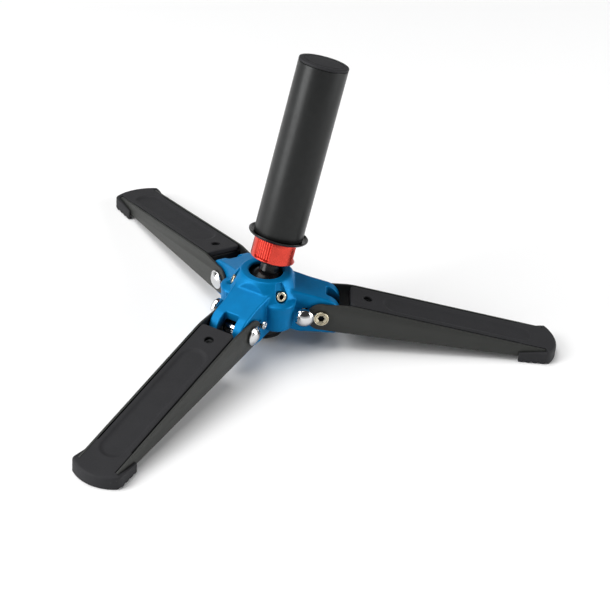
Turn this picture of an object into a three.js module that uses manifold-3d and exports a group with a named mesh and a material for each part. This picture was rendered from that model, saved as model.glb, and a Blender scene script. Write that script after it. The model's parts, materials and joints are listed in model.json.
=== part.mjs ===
// Folding monopod base: a die-cast hub with three hinged channel legs, a push-button lock at
// each leg, and a ball joint that carries the lower end of the monopod tube behind a screw collar.
// Millimetres, +Z up. Heights in this file count from the floor. The whole assembly is lowered at
// the end, so that the origin is the centre of the flat underside of the rubber pad below the hub.
// Leg 1 points along +X, and legs 2 and 3 follow at 120 and 240 degrees.

import * as THREE from 'three';
import { mergeVertices } from 'three/addons/utils/BufferGeometryUtils.js';
import Module from 'manifold-3d';

const wasm = await Module();
wasm.setup();

const LEG_COUNT = 3;
const GAP = 0.3; // left between touching pieces
const UNDERSIDE = 5; // base pad above the floor
const ROUND = 28; // segments round a large turned piece
const SMALL_ROUND = 14; // segments round a pin or a screw

// Hub casting
const HUB_FLOOR = 13; // lower edge of each arm's inner end
const HUB_TOP = 49.3;
const DRUM_FLOOR = 16;
const NOSE = { r: 17, radius: 10.8, floor: 18, top: 38.3 }; // round bulge below each tension screw
const SOCKET_RADIUS = 14.5; // bore that holds the ball seat
const MOUTH_RADIUS = 11; // opening in the rim
const ARM_FLOOR = 11.2; // lower edge of each arm's outer end
const ARM_HALF_WIDTH = 11.9; // fork of each arm, over both ears
const ARM_ROOT_HALF_WIDTH = 13.6;
const EAR_RADIUS = 12.4;
const FORK_HALF_WIDTH = 5.4;
const FORK_START = 39.4; // inner end of the slot in the arm's roof
const CAVITY_START = 30.5; // inner end of the hollow below the roof
const ROOF_UNDERSIDE = 31.2;
const FACET = [[18.4, 42], [17.6, 47.6]]; // flat above each arm, cut into the hub's cone

// Tension screws between the arms, each in a pocket that narrows up the slope
const TENSION = { r: 22.2, z: 41, rise: THREE.MathUtils.degToRad(20), floor: -3.6, radius: 3.3 };
const POCKET = { radius: 4.1, top: 8.8, topHalfWidth: 2.1 };

// Leg pivot and lock
const PIVOT = { r: 37, z: 24.2, radius: 3.5, segments: 18 };
const RUNNING = 0.2; // radial clearance on the pivot
const WASHER = { radius: 8, from: 11.1, to: 12.1 }; // sunk into the ears
const PIVOT_HEAD = { radius: 6.3, rim: 1.1, crown: 8.3, height: 3.9 };
const LOCK = { r: 25.8, z: 26.6, thin: 1.5, wide: 2.8, bore: 3.1 };
const BUTTON = { base: -17, widest: -19.8, top: -23.4, radius: 6.1, crown: 7 };

// Leg
const PLATE_OUTER = 14; // side plates, from the leg's middle plane
const PLATE_THICKNESS = 1.6;
const PLATE_END_RADIUS = 9.6; // round end of the plates, about the pivot
const PLATE_TOP = 33.4; // level top edge, up to the inner end of the pad
const PLATE_LENGTH = 184.5; // hub axis to the end of the plates
const WEB_FOLD = 7.5; // the web's inner end turns down this far
const PAD_START = 55.7;
const PAD_HALF_WIDTH = 12;
const PAD_THICKNESS = 3.4;
const PAD_PROUD = 0.4; // pad above the plates' top edges
const SLOPE = THREE.MathUtils.degToRad(10.7); // fall of the leg's top, outwards
const FOOT_REACH = 193;
const FOOT_HALF_WIDTH = 16.6;
const FOOT_FRONT_RADIUS = 25.7;
const WING_START = 167;
const SCREW_PLACE = 11.4; // along the pad, from its inner end
const RECESS = { from: 21.5, to: 123, radius: 9, depth: 0.7 }; // shallow long oval in the pad

// Column, measured along its axis from the ball's centre
const BALL = { z: 38, radius: 12.5 };
const LEAN = THREE.MathUtils.degToRad(15.6);
const LEAN_AZIMUTH = THREE.MathUtils.degToRad(47.7);
const NECK_RADIUS = 6.3;
const COLLAR = {
  bottom: 18.7, top: 32.6, radius: 14.3, grip: 12.7, lip: 1.1, recess: 46, firstRecess: 113,
};
const FLANGE_BOTTOM = 33.2;
const TUBE = { bottom: 34.9, top: 148, radius: 16, wall: 1.6 };
const SHAFT = { radius: 6, top: 56 };

const material = (color, roughness, metalness) =>
  new THREE.MeshStandardMaterial({ color, roughness, metalness });

const blueCasting = material(0x0878b8, 0.38, 0.3);
const redAnodised = material(0xc93a30, 0.32, 0.8);
const blackAnodised = material(0x1b1c1d, 0.42, 0.5);
const glossBlack = material(0x0b0b0c, 0.2, 0.2);
const blackPaint = material(0x2b2c2a, 0.5, 0.1);
const blackMoulding = material(0x2d2e30, 0.75, 0);
const blackRubber = material(0x18191a, 0.85, 0);
const chrome = material(0xd9dadb, 0.08, 1);
const nickel = material(0xb9b09c, 0.3, 1);
const springSteel = material(0x9a9c9e, 0.35, 1);
const blackNylon = material(0x161617, 0.5, 0);
const bronze = material(0xa8793c, 0.45, 1);

// --- Geometry helpers -------------------------------------------------------------------------

// Shares the vertices of a closed three.js geometry, drops the flat triangles that a lathe leaves
// on its axis, and turns the faces outwards.
function closed(geometry) {
  geometry.deleteAttribute('normal');
  geometry.deleteAttribute('uv');
  const merged = mergeVertices(geometry, 1e-4);
  const corners = merged.index.array;
  const position = merged.attributes.position;
  const [a, b, c] = [new THREE.Vector3(), new THREE.Vector3(), new THREE.Vector3()];
  const kept = [];
  let volume = 0;
  for (let i = 0; i < corners.length; i += 3) {
    const [p, q, s] = corners.slice(i, i + 3);
    if (p === q || q === s || s === p) continue;
    kept.push([p, q, s]);
    a.fromBufferAttribute(position, p);
    b.fromBufferAttribute(position, q);
    c.fromBufferAttribute(position, s);
    volume += a.dot(b.cross(c));
  }
  merged.setIndex(kept.flatMap(([p, q, s]) => (volume < 0 ? [p, s, q] : [p, q, s])));
  return merged;
}

// Profile of [radius, height] points turned about Z.
function lathe(profile, segments = ROUND) {
  const points = profile.map(([x, y]) => new THREE.Vector2(x, y));
  return closed(new THREE.LatheGeometry(points, segments).rotateX(Math.PI / 2));
}

// Profile of [radius, sideways] points turned about a sideways axis at (r, z).
function crosswise(profile, { r, z }, segments = SMALL_ROUND) {
  return lathe(profile, segments).rotateX(-Math.PI / 2).translate(r, 0, z);
}

// A plain round bar along Z, or sideways through (r, z).
const rod = (radius, from, to, segments = SMALL_ROUND) =>
  lathe([[0, from], [radius, from], [radius, to], [0, to]], segments);
const crossRod = (radius, from, to, at, segments = SMALL_ROUND) =>
  crosswise([[0, from], [radius, from], [radius, to], [0, to]], at, segments);

const outline = (points) => new THREE.Shape(points.map(([x, y]) => new THREE.Vector2(x, y)));

// Plan outline raised from one height to another.
function upright(shape, from, to, curveSegments = 8) {
  const options = { depth: to - from, bevelEnabled: false, curveSegments };
  return closed(new THREE.ExtrudeGeometry(shape, options).translate(0, 0, from));
}

// Outline in the (outwards, up) plane, given a width to both sides of the plane t = middle.
function sideways(shape, halfWidth, middle = 0, curveSegments = 8) {
  const options = { depth: 2 * halfWidth, bevelEnabled: false, curveSegments };
  const geometry = new THREE.ExtrudeGeometry(shape, options);
  return closed(geometry.rotateX(Math.PI / 2).translate(0, middle + halfWidth, 0));
}

const arc = (radius, centre, from, to, steps) =>
  Array.from({ length: steps + 1 }, (_, i) => {
    const angle = THREE.MathUtils.degToRad(from + ((to - from) * i) / steps);
    return [centre[0] + radius * Math.cos(angle), centre[1] + radius * Math.sin(angle)];
  });

// --- Joining and cutting ----------------------------------------------------------------------

function solid(geometry) {
  const vertProperties = new Float32Array(geometry.attributes.position.array);
  const triVerts = new Uint32Array(geometry.index.array);
  return new wasm.Manifold(new wasm.Mesh({ numProp: 3, vertProperties, triVerts }));
}

function join(...geometries) {
  return geometries.map(solid).reduce((whole, piece) => whole.add(piece));
}

function cut(whole, ...geometries) {
  return geometries.map(solid).reduce((rest, tool) => rest.subtract(tool), whole);
}

function surface(result) {
  const mesh = result.getMesh();
  const geometry = new THREE.BufferGeometry();
  geometry.setAttribute('position', new THREE.BufferAttribute(mesh.vertProperties, 3));
  geometry.setIndex(new THREE.BufferAttribute(mesh.triVerts, 1));
  return geometry;
}

function put(parent, name, shape, finish) {
  const geometry = shape.isBufferGeometry ? shape : surface(shape);
  const mesh = new THREE.Mesh(geometry, finish);
  mesh.name = name;
  parent.add(mesh);
}

// --- Hub --------------------------------------------------------------------------------------

// The arm's flat top runs from the foot of the facet and ends tangent to the round ears.
function armTopAngle() {
  const [r, z] = FACET[0];
  const toPivot = new THREE.Vector2(PIVOT.r - r, PIVOT.z - z);
  return toPivot.angle() - 2 * Math.PI + Math.asin(EAR_RADIUS / toPivot.length());
}

function hubArm() {
  const [r, z] = FACET[0];
  const normal = 90 + THREE.MathUtils.radToDeg(armTopAngle());
  const centre = [PIVOT.r, PIVOT.z];
  const inward = 8;
  const profile = outline([
    [r - inward, HUB_FLOOR],
    [r + 4, ARM_FLOOR],
    [PIVOT.r + 10.6, ARM_FLOOR],
    [PIVOT.r + 11.9, 14],
    ...arc(EAR_RADIUS, centre, 0, normal, 8),
    [r, z],
    [r - inward, z - inward * Math.tan(armTopAngle())],
  ]);
  const w = ARM_HALF_WIDTH;
  const right = [[10, -ARM_ROOT_HALF_WIDTH], [18, -13.1], [24, -12.4], [28, -w]];
  const tip = PIVOT.r + EAR_RADIUS + 1;
  const plan = [...right, [tip - 2, -w], [tip, -w + 1.5]];
  const mirrored = plan.map(([x, y]) => [x, -y]).reverse();
  const body = solid(sideways(profile, 16));
  return body.intersect(solid(upright(outline([...plan, ...mirrored]), 0, 60)));
}

// Everything above the arm's top and outside the facet.
function facetTool() {
  const [foot, head] = FACET;
  const reach = 22;
  const far = [foot[0] + reach, foot[1] + reach * Math.tan(armTopAngle())];
  return sideways(outline([foot, far, [far[0], 60], [17, 60], head]), 15);
}

// Turns a shape drawn along +Z, with its top towards +Y, onto the tension screw's axis, which
// points outwards and up, so that the shape's top is upwards.
function alongTension(geometry) {
  return geometry.rotateZ(Math.PI / 2).rotateY(Math.PI / 2 - TENSION.rise)
    .translate(TENSION.r, 0, TENSION.z);
}

function pocketTool() {
  const { radius, top, topHalfWidth } = POCKET;
  const reach = Math.hypot(topHalfWidth, top);
  const side = THREE.MathUtils.radToDeg(Math.atan2(topHalfWidth, top) + Math.acos(radius / reach));
  const drop = outline([
    ...arc(radius, [0, 0], 90 + side, 450 - side, 10), [topHalfWidth, top], [-topHalfWidth, top],
  ]);
  return alongTension(upright(drop, TENSION.floor, 14));
}

function hubNose() {
  const { radius, floor, top } = NOSE;
  return lathe([
    [0, floor], [radius - 0.9, floor], [radius, floor + 0.9], [radius, top - 2.5],
    [radius - 0.6, top - 1.7], [5.5, top], [0, top],
  ]).translate(NOSE.r, 0, 0);
}

function hubCasting() {
  let hub = solid(lathe([
    [0, DRUM_FLOOR], [21, DRUM_FLOOR], [21.9, DRUM_FLOOR + 1], [22.9, 34], [23.5, 36.4],
    [23.2, 38.2], [17.6, 47.5], [16, 48.8], [13.8, HUB_TOP], [0, HUB_TOP],
  ], 36));
  const eachLeg = (shape, angle) =>
    solid(closed(shape.rotateZ((2 * Math.PI * angle) / LEG_COUNT)));
  for (let leg = 0; leg < LEG_COUNT; leg++) {
    hub = hub.subtract(eachLeg(facetTool(), leg));
  }
  for (let leg = 0; leg < LEG_COUNT; leg++) {
    hub = hub.add(hubArm().rotate([0, 0, (360 * leg) / LEG_COUNT]));
    hub = hub.add(eachLeg(hubNose(), leg + 0.5));
  }
  hub = cut(hub, lathe([
    [0, 0], [SOCKET_RADIUS, 0], [SOCKET_RADIUS, 44.6], [MOUTH_RADIUS + 0.3, 46.6],
    [MOUTH_RADIUS, 48.6], [MOUTH_RADIUS + 0.6, HUB_TOP], [MOUTH_RADIUS + 0.6, 60], [0, 60],
  ], 36));
  const roofless = outline([[FORK_START, 0], [60, 0], [60, 60], [FORK_START, 60]]);
  const hollow = outline([
    [CAVITY_START, 0], [60, 0], [60, ROOF_UNDERSIDE], [CAVITY_START + 3, ROOF_UNDERSIDE],
    [CAVITY_START, ROOF_UNDERSIDE - 3],
  ]);
  for (let leg = 0; leg < LEG_COUNT; leg++) {
    const tools = [
      sideways(roofless, FORK_HALF_WIDTH),
      sideways(hollow, FORK_HALF_WIDTH),
      crossRod(PIVOT.radius + RUNNING, -20, 20, PIVOT, PIVOT.segments),
      crossRod(WASHER.radius + GAP, WASHER.from - GAP, 13, PIVOT),
      crossRod(WASHER.radius + GAP, -13, GAP - WASHER.from, PIVOT),
      crossRod(LOCK.bore, -20, 2, LOCK),
      crossRod(LOCK.thin + 0.4, 0, 20, LOCK),
    ];
    for (const tool of tools) hub = hub.subtract(eachLeg(tool, leg));
    for (const tool of [pocketTool(), alongTension(rod(TENSION.radius + GAP, -14, 4))]) {
      hub = hub.subtract(eachLeg(tool, leg + 0.5));
    }
  }
  return hub;
}

function tensionScrew() {
  const body = solid(lathe([
    [0, -7.4], [2.6, -7.4], [TENSION.radius, -6.7], [TENSION.radius, -1.3], [2.9, -0.9], [0, -0.9],
  ], SMALL_ROUND));
  const socket = new THREE.CylinderGeometry(1.6, 1.6, 4, 6).rotateX(Math.PI / 2)
    .translate(0, 0, -0.9);
  return alongTension(surface(cut(body, closed(socket))));
}

function buildHub(parent) {
  put(parent, 'hub_casting', hubCasting(), blueCasting);
  put(parent, 'base_plug', lathe([
    [0, 7.2], [13, 7.2], [13.8, 8], [13.8, 12.4], [14.1, 12.7], [14.1, 22.9],
    [12, 22.9], [10.5, 20.5], [0, 20.5],
  ]), blackAnodised);
  put(parent, 'base_pad', lathe([
    [0, UNDERSIDE], [13.2, UNDERSIDE], [13.7, UNDERSIDE + 0.5], [13.7, 6.9], [0, 6.9],
  ]), blackRubber);
  const inner = arc(BALL.radius + GAP, [0, BALL.z], 29, -90, 8);
  put(parent, 'ball_seat', lathe([
    [0, 23.2], [14.2, 23.2], [14.2, 44.2], ...inner,
  ]), blackNylon);
  for (let leg = 0; leg < LEG_COUNT; leg++) {
    const screw = tensionScrew().rotateZ((2 * Math.PI * (leg + 0.5)) / LEG_COUNT);
    put(parent, `tension_screw_${leg + 1}`, screw, nickel);
  }
}

// --- Legs -------------------------------------------------------------------------------------

const plateTop = (r) => PLATE_TOP - Math.max(0, r - PAD_START) * Math.tan(SLOPE);
const padTop = (r) => PAD_PROUD + PLATE_TOP - (r - PAD_START) * Math.tan(SLOPE);

// Moves a shape from the pad's own frame (outwards, sideways, above its top face) to the leg's.
const onPad = (geometry) =>
  geometry.rotateY(SLOPE).translate(PAD_START, 0, PLATE_TOP + PAD_PROUD);

function legChannel() {
  const topAngle = THREE.MathUtils.radToDeg(
    Math.asin((PLATE_TOP - PIVOT.z) / PLATE_END_RADIUS));
  const plate = outline([
    ...arc(PLATE_END_RADIUS, [PIVOT.r, PIVOT.z], topAngle, 270, 12),
    [48, 13.5], [PLATE_LENGTH, 2.1],
    [PLATE_LENGTH, plateTop(PLATE_LENGTH)], [PAD_START, plateTop(PAD_START)],
  ]);
  const webTop = (r) => padTop(r) - PAD_THICKNESS - GAP;
  const [start, end] = [PAD_START - 0.3, 169.5];
  const folded = start + PLATE_THICKNESS;
  const web = outline([
    [start, webTop(start)], [start, webTop(start) - WEB_FOLD], [folded, webTop(start) - WEB_FOLD],
    [folded, webTop(folded) - PLATE_THICKNESS], [end, webTop(end) - PLATE_THICKNESS],
    [end, webTop(end)],
  ]);
  const half = PLATE_THICKNESS / 2;
  const whole = join(
    sideways(plate, half, PLATE_OUTER - half),
    sideways(plate, half, half - PLATE_OUTER),
    sideways(web, PLATE_OUTER - half),
  );
  const screwHole = rod(1.8, -10, 2).translate(SCREW_PLACE, 0, 0);
  return cut(whole, crossRod(PIVOT.radius + RUNNING, -20, 20, PIVOT, PIVOT.segments), onPad(screwHole));
}

function footOutline() {
  const centre = FOOT_REACH - FOOT_FRONT_RADIUS;
  const spread = THREE.MathUtils.radToDeg(Math.asin(FOOT_HALF_WIDTH / FOOT_FRONT_RADIUS));
  return outline([
    [WING_START, -15.8], [184, -FOOT_HALF_WIDTH - 0.3],
    ...arc(FOOT_FRONT_RADIUS, [centre, 0], -spread, spread, 12),
    [184, FOOT_HALF_WIDTH + 0.3], [WING_START, 15.8],
  ]);
}

function legPad() {
  const end = FOOT_REACH - 3;
  const slab = outline([
    [PAD_START, padTop(PAD_START)], [PAD_START, padTop(PAD_START) - PAD_THICKNESS],
    [end, padTop(end) - PAD_THICKNESS], [end, padTop(end)],
  ]);
  const above = outline([
    [150, padTop(150)], [200, padTop(200)], [200, 40], [150, 40],
  ]);
  const foot = cut(solid(upright(footOutline(), 0, 14)), sideways(above, 20));

  const slotEnd = PLATE_LENGTH + GAP;
  const wingTop = outline([[150, 5.2], [slotEnd + 0.7, 8.6], [slotEnd + 0.7, 40], [150, 40]]);
  const slot = outline([[150, 1], [slotEnd, 1], [slotEnd, 40], [150, 40]]);
  const webSpace = (r) => [r, padTop(r) - PAD_THICKNESS];
  const underWeb = outline([[150, -1], [170.5, -1], webSpace(170.5), webSpace(150)]);
  const plateMiddle = PLATE_OUTER - PLATE_THICKNESS / 2;
  const slotHalf = PLATE_THICKNESS / 2 + GAP;
  const tools = [sideways(underWeb, plateMiddle)];
  for (const side of [-1, 1]) {
    tools.push(sideways(wingTop, 3, side * (PLATE_OUTER + GAP + 3)));
    tools.push(sideways(slot, slotHalf, side * plateMiddle));
  }
  for (let rib = 0; rib < 4; rib++) {
    tools.push(crossRod(1.3, -20, 20, { r: 170.8 + 4.8 * rib, z: -0.5 }, 10));
  }
  const recess = new THREE.Shape();
  recess.absarc(RECESS.to - RECESS.radius, 0, RECESS.radius, -Math.PI / 2, Math.PI / 2);
  recess.absarc(RECESS.from + RECESS.radius, 0, RECESS.radius, Math.PI / 2, Math.PI * 1.5);
  const screwHole = lathe([
    [0, -10], [1.8, -10], [1.8, -2.6], [2.4, -2.6], [2.4, 2], [0, 2],
  ], SMALL_ROUND).translate(SCREW_PLACE, 0, 0);
  const whole = cut(foot, ...tools).add(solid(sideways(slab, PAD_HALF_WIDTH)));
  return cut(whole, onPad(upright(recess, -RECESS.depth, 5)), onPad(screwHole));
}

function padScrew() {
  const head = lathe([
    [0, -7], [1.5, -7], [1.5, -2.3], [2.1, -2.3], [2.1, -1.3], [0, -1.3],
  ], 12).translate(SCREW_PLACE, 0, 0);
  const socket = new THREE.CylinderGeometry(0.9, 0.9, 1.6, 6).rotateX(Math.PI / 2)
    .translate(SCREW_PLACE, 0, -1.3);
  return onPad(surface(cut(solid(head), closed(socket))));
}

// --- Leg pivot and lock -----------------------------------------------------------------------

// Dome-headed barrel on the left of the leg, with the threaded hole for the screw at its other end.
function pivotBolt() {
  const seat = PLATE_OUTER + GAP;
  const { radius, rim, crown, height } = PIVOT_HEAD;
  return crosswise([
    [0, 0], [2.7, 0], [2.7, -PLATE_OUTER], [PIVOT.radius, -PLATE_OUTER], [PIVOT.radius, seat],
    [radius, seat], [radius, seat + rim], ...arc(crown, [0, seat + height - crown], 44, 90, 4),
  ], PIVOT, PIVOT.segments);
}

function pivotScrew() {
  const seat = PLATE_OUTER + GAP;
  const body = solid(crosswise([
    [0, -2], [2.4, -2], [2.4, -seat], [5, -seat], [5, -seat - 1.4], [4.5, -seat - 1.9],
    [0, -seat - 1.9],
  ], PIVOT));
  const socket = new THREE.CylinderGeometry(1.9, 1.9, 3, 6)
    .translate(PIVOT.r, -seat - 1.9, PIVOT.z);
  return cut(body, closed(socket));
}

function pivotWasher(side) {
  const { radius, from, to } = WASHER;
  const inner = PIVOT.radius + RUNNING;
  const profile = [[inner, from], [radius, from], [radius, to], [inner, to], [inner, from]];
  return crosswise(profile.map(([x, y]) => [x, side * y]), PIVOT);
}

// The thin stretches of the pin pass the round ends of the plates. The wide one runs in the hub.
function lockButton() {
  const { base, widest, top, radius, crown } = BUTTON;
  return crosswise([
    ...arc(crown, [0, top + crown], -90, -31, 4), [radius, widest], [radius, base - 1],
    [radius - 0.9, base], [LOCK.thin, base], [LOCK.thin, -10.6],
    [LOCK.wide, -10.6], [LOCK.wide, -4.6], [LOCK.thin, -4.6], [LOCK.thin, 14.2],
    [1, 14.2], [1, 10], [0, 10],
  ], LOCK);
}

function lockPinCap() {
  return crosswise([
    [0, 10.6], [0.7, 10.6], [0.7, 14.5], [2.8, 14.5], [2.8, 15.8], [2.2, 16.4], [0, 16.4],
  ], LOCK, 16);
}

class Helix extends THREE.Curve {
  constructor(radius, from, to, turns) {
    super();
    Object.assign(this, { radius, from, to, turns });
  }

  getPoint(t, target = new THREE.Vector3()) {
    const angle = 2 * Math.PI * this.turns * t;
    const along = this.from + (this.to - this.from) * t;
    return target.set(this.radius * Math.cos(angle), along, this.radius * Math.sin(angle));
  }
}

function lockSpring() {
  const wire = 0.35;
  const turns = 4;
  const path = new Helix(2.25, -3.9, 1.3, turns);
  const section = outline(arc(wire, [0, 0], 0, 288, 4));
  const options = { steps: turns * 8, extrudePath: path, bevelEnabled: false };
  return closed(new THREE.ExtrudeGeometry(section, options)).translate(LOCK.r, 0, LOCK.z);
}

function buildLeg(parent, number) {
  put(parent, `leg_channel_${number}`, legChannel(), blackPaint);
  put(parent, `leg_pad_${number}`, legPad(), blackMoulding);
  put(parent, `pad_screw_${number}`, padScrew(), blackAnodised);
  put(parent, `pivot_bolt_${number}`, pivotBolt(), chrome);
  put(parent, `pivot_screw_${number}`, pivotScrew(), nickel);
  put(parent, `pivot_washer_left_${number}`, pivotWasher(1), blackNylon);
  put(parent, `pivot_washer_right_${number}`, pivotWasher(-1), blackNylon);
  put(parent, `lock_button_${number}`, lockButton(), chrome);
  put(parent, `lock_pin_cap_${number}`, lockPinCap(), chrome);
  put(parent, `lock_spring_${number}`, lockSpring(), springSteel);
}

// --- Column -----------------------------------------------------------------------------------

// Ball, neck, threaded stretch for the collar, and the shaft that the tube turns on.
function ballStem() {
  const neckAngle = THREE.MathUtils.radToDeg(Math.acos(NECK_RADIUS / BALL.radius));
  return lathe([
    ...arc(BALL.radius, [0, 0], -90, neckAngle, 9), [NECK_RADIUS, 24.2], [7.9, 24.6],
    [7.9, 32.9], [SHAFT.radius, 32.9], [SHAFT.radius, SHAFT.top], [2.8, SHAFT.top], [2.8, 44],
    [0, 44],
  ], 24);
}

// Three smooth lobes with a ribbed finger grip between each two, above a full round lip.
function lockCollar() {
  const ribs = 5;
  const points = [];
  for (let grip = 0; grip < 3; grip++) {
    const middle = COLLAR.firstRecess + 120 * grip;
    const edge = COLLAR.recess / 2;
    for (let i = 1; i < 2 * ribs; i++) {
      const radius = COLLAR.grip + (i % 2 ? 0 : 0.45);
      const angle = middle - edge + 2 + ((COLLAR.recess - 4) * i) / (2 * ribs);
      points.push(...arc(radius, [0, 0], angle, angle, 1).slice(1));
    }
    points.push(...arc(COLLAR.radius, [0, 0], middle + edge, middle + 120 - edge, 7));
  }
  const shoulder = COLLAR.bottom + COLLAR.lip;
  const whole = join(
    upright(outline(points), shoulder - 0.1, COLLAR.top),
    rod(COLLAR.radius, COLLAR.bottom, shoulder, ROUND),
  );
  return cut(whole, rod(8.4, 0, 60, 24));
}

function stemBolt() {
  const seat = SHAFT.top + GAP;
  const body = solid(lathe([
    [0, 45], [2.4, 45], [2.4, seat], [9.5, seat], [9.5, seat + 1.5], [5, seat + 1.5],
    [5, seat + 5], [0, seat + 5],
  ], 24));
  const socket = new THREE.CylinderGeometry(2.5, 2.5, 5, 6).rotateX(Math.PI / 2)
    .translate(0, 0, seat + 5);
  return cut(body, closed(socket));
}

function ring(inner, outer, from, to, segments = ROUND) {
  return lathe([[inner, from], [outer, from], [outer, to], [inner, to], [inner, from]], segments);
}

function buildColumn(parent) {
  const inside = TUBE.radius - TUBE.wall;
  put(parent, 'ball_stem', ballStem(), glossBlack);
  put(parent, 'thrust_ring', lathe([
    [6.6, 16.6], [10.2, 16.6], [11, 17.3], [11, 18.3], [8.1, 18.3], [8.1, 23.8], [6.6, 23.8],
    [6.6, 16.6],
  ], 24), glossBlack);
  put(parent, 'lock_collar', lockCollar(), redAnodised);
  put(parent, 'flange_ring', lathe([
    [8.6, FLANGE_BOTTOM], [18.3, FLANGE_BOTTOM], [19.1, 33.8], [19.1, 34.5], [18.5, 34.9],
    [16.6, 34.6], [8.6, 34.6], [8.6, FLANGE_BOTTOM],
  ]), glossBlack);
  put(parent, 'column_tube', ring(inside, TUBE.radius, TUBE.bottom, TUBE.top), blackAnodised);
  put(parent, 'bearing_plug', ring(8.3, inside - GAP, TUBE.bottom, SHAFT.top - GAP), blackPaint);
  put(parent, 'pan_bush', ring(SHAFT.radius + RUNNING, 8, 35.2, SHAFT.top - GAP, 20), bronze);
  put(parent, 'stem_bolt', stemBolt(), springSteel);
  const seat = TUBE.top + GAP;
  put(parent, 'tube_cap', lathe([
    [0, seat - 2], [12, seat - 2], [12, seat - 10], [inside - GAP, seat - 10],
    [inside - GAP, seat], [TUBE.radius, seat], [TUBE.radius, seat + 1.2],
    [TUBE.radius - 0.6, seat + 1.8], [0, seat + 1.8],
  ]), blackMoulding);
}

// --- Assembly ---------------------------------------------------------------------------------

const assembly = new THREE.Group();
assembly.position.z = -UNDERSIDE;

const hub = new THREE.Group();
buildHub(hub);
assembly.add(hub);

for (let index = 0; index < LEG_COUNT; index++) {
  const leg = new THREE.Group();
  leg.rotation.z = (2 * Math.PI * index) / LEG_COUNT;
  buildLeg(leg, index + 1);
  assembly.add(leg);
}

const column = new THREE.Group();
column.position.z = BALL.z;
const tiltAxis = new THREE.Vector3(-Math.sin(LEAN_AZIMUTH), Math.cos(LEAN_AZIMUTH), 0);
column.quaternion.setFromAxisAngle(tiltAxis, LEAN);
buildColumn(column);
assembly.add(column);

const monopodBase = new THREE.Group();
monopodBase.add(assembly);

export default monopodBase;
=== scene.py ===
"""Finished looks of the folding monopod base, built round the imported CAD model.

Pieces are drawn in millimetres, in the frame of the hub, of one leg or of the column, and heights
there count from the floor or from the ball's centre. Each frame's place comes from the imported
record, and every object is in metres.
"""
import json
import math

import bmesh
import bpy
import numpy as np
from mathutils import Matrix, Vector


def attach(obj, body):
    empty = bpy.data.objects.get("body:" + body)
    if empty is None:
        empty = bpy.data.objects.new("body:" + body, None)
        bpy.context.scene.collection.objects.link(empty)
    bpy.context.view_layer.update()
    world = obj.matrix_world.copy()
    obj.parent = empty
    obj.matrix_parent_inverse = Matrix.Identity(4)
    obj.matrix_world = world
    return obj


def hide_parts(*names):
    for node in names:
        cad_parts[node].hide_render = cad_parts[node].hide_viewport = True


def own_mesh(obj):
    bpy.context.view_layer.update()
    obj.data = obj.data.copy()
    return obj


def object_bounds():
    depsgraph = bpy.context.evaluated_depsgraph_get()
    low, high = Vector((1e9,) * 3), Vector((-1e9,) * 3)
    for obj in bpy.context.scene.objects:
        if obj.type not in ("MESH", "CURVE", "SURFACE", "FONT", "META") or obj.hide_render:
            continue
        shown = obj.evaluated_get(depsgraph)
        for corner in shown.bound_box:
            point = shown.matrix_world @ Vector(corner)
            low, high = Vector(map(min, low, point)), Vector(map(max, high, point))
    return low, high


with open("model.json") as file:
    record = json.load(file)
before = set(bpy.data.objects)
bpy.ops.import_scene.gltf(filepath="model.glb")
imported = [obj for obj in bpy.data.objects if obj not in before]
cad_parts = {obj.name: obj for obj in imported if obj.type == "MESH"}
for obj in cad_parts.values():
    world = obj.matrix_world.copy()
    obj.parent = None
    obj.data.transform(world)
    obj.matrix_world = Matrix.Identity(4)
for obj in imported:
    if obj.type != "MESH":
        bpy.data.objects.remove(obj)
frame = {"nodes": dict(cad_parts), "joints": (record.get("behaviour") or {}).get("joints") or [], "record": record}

MM = 0.001
LEG_COUNT = 3
CELL = 0.42  # spacing of grids in millimetres

cad_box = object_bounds()
behaviour = frame["record"]["behaviour"]
body_of = {node: body for body, nodes in behaviour["bodies"].items() for node in nodes}
slot_of = {part["node"]: part["material_slot"] for part in frame["record"]["subparts"]}
joints = {joint["name"]: joint for joint in frame["joints"]}


# --- Local frames -------------------------------------------------------------------------------

def turn_about(axis, degrees):
    return Matrix.Rotation(math.radians(degrees), 4, axis)


def shift(x, y, z):
    """A move given in millimetres."""
    return Matrix.Translation(Vector((x, y, z)) * MM)


HUB = Matrix.Translation((0, 0, cad_box[0].z))
LEGS = [HUB @ turn_about("Z", 360 * leg / LEG_COUNT) for leg in range(LEG_COUNT)]
column_axis = Vector(joints["tube_pan"]["axis"])
COLUMN = (Matrix.Translation(joints["ball_tilt"]["pos_m"])
          @ Vector((0, 0, 1)).rotation_difference(column_axis).to_matrix().to_4x4())


def measure(node, place):
    """Lowest and highest corner of a CAD node, in the millimetres of a local frame."""
    into = place.inverted()
    points = np.array([into @ vertex.co for vertex in frame["nodes"][node].data.vertices]) / MM
    return points.min(0), points.max(0)


def across(leg, centre):
    """The frame of a piece that lies sideways through a leg: its Z points to the leg's left."""
    return LEGS[leg] @ shift(centre[0], 0, centre[1]) @ turn_about("X", -90)


# --- Driving dimensions, in millimetres -----------------------------------------------------------

pivot_place = LEGS[0].inverted() @ Vector(joints["leg_fold_1"]["pos_m"]) / MM
PIVOT = (pivot_place.x, pivot_place.z)
PIVOT_RADIUS = 3.5
cap_low, cap_high = measure("lock_pin_cap_1", LEGS[0])
LOCK = ((cap_low[0] + cap_high[0]) / 2, (cap_low[2] + cap_high[2]) / 2)

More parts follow.
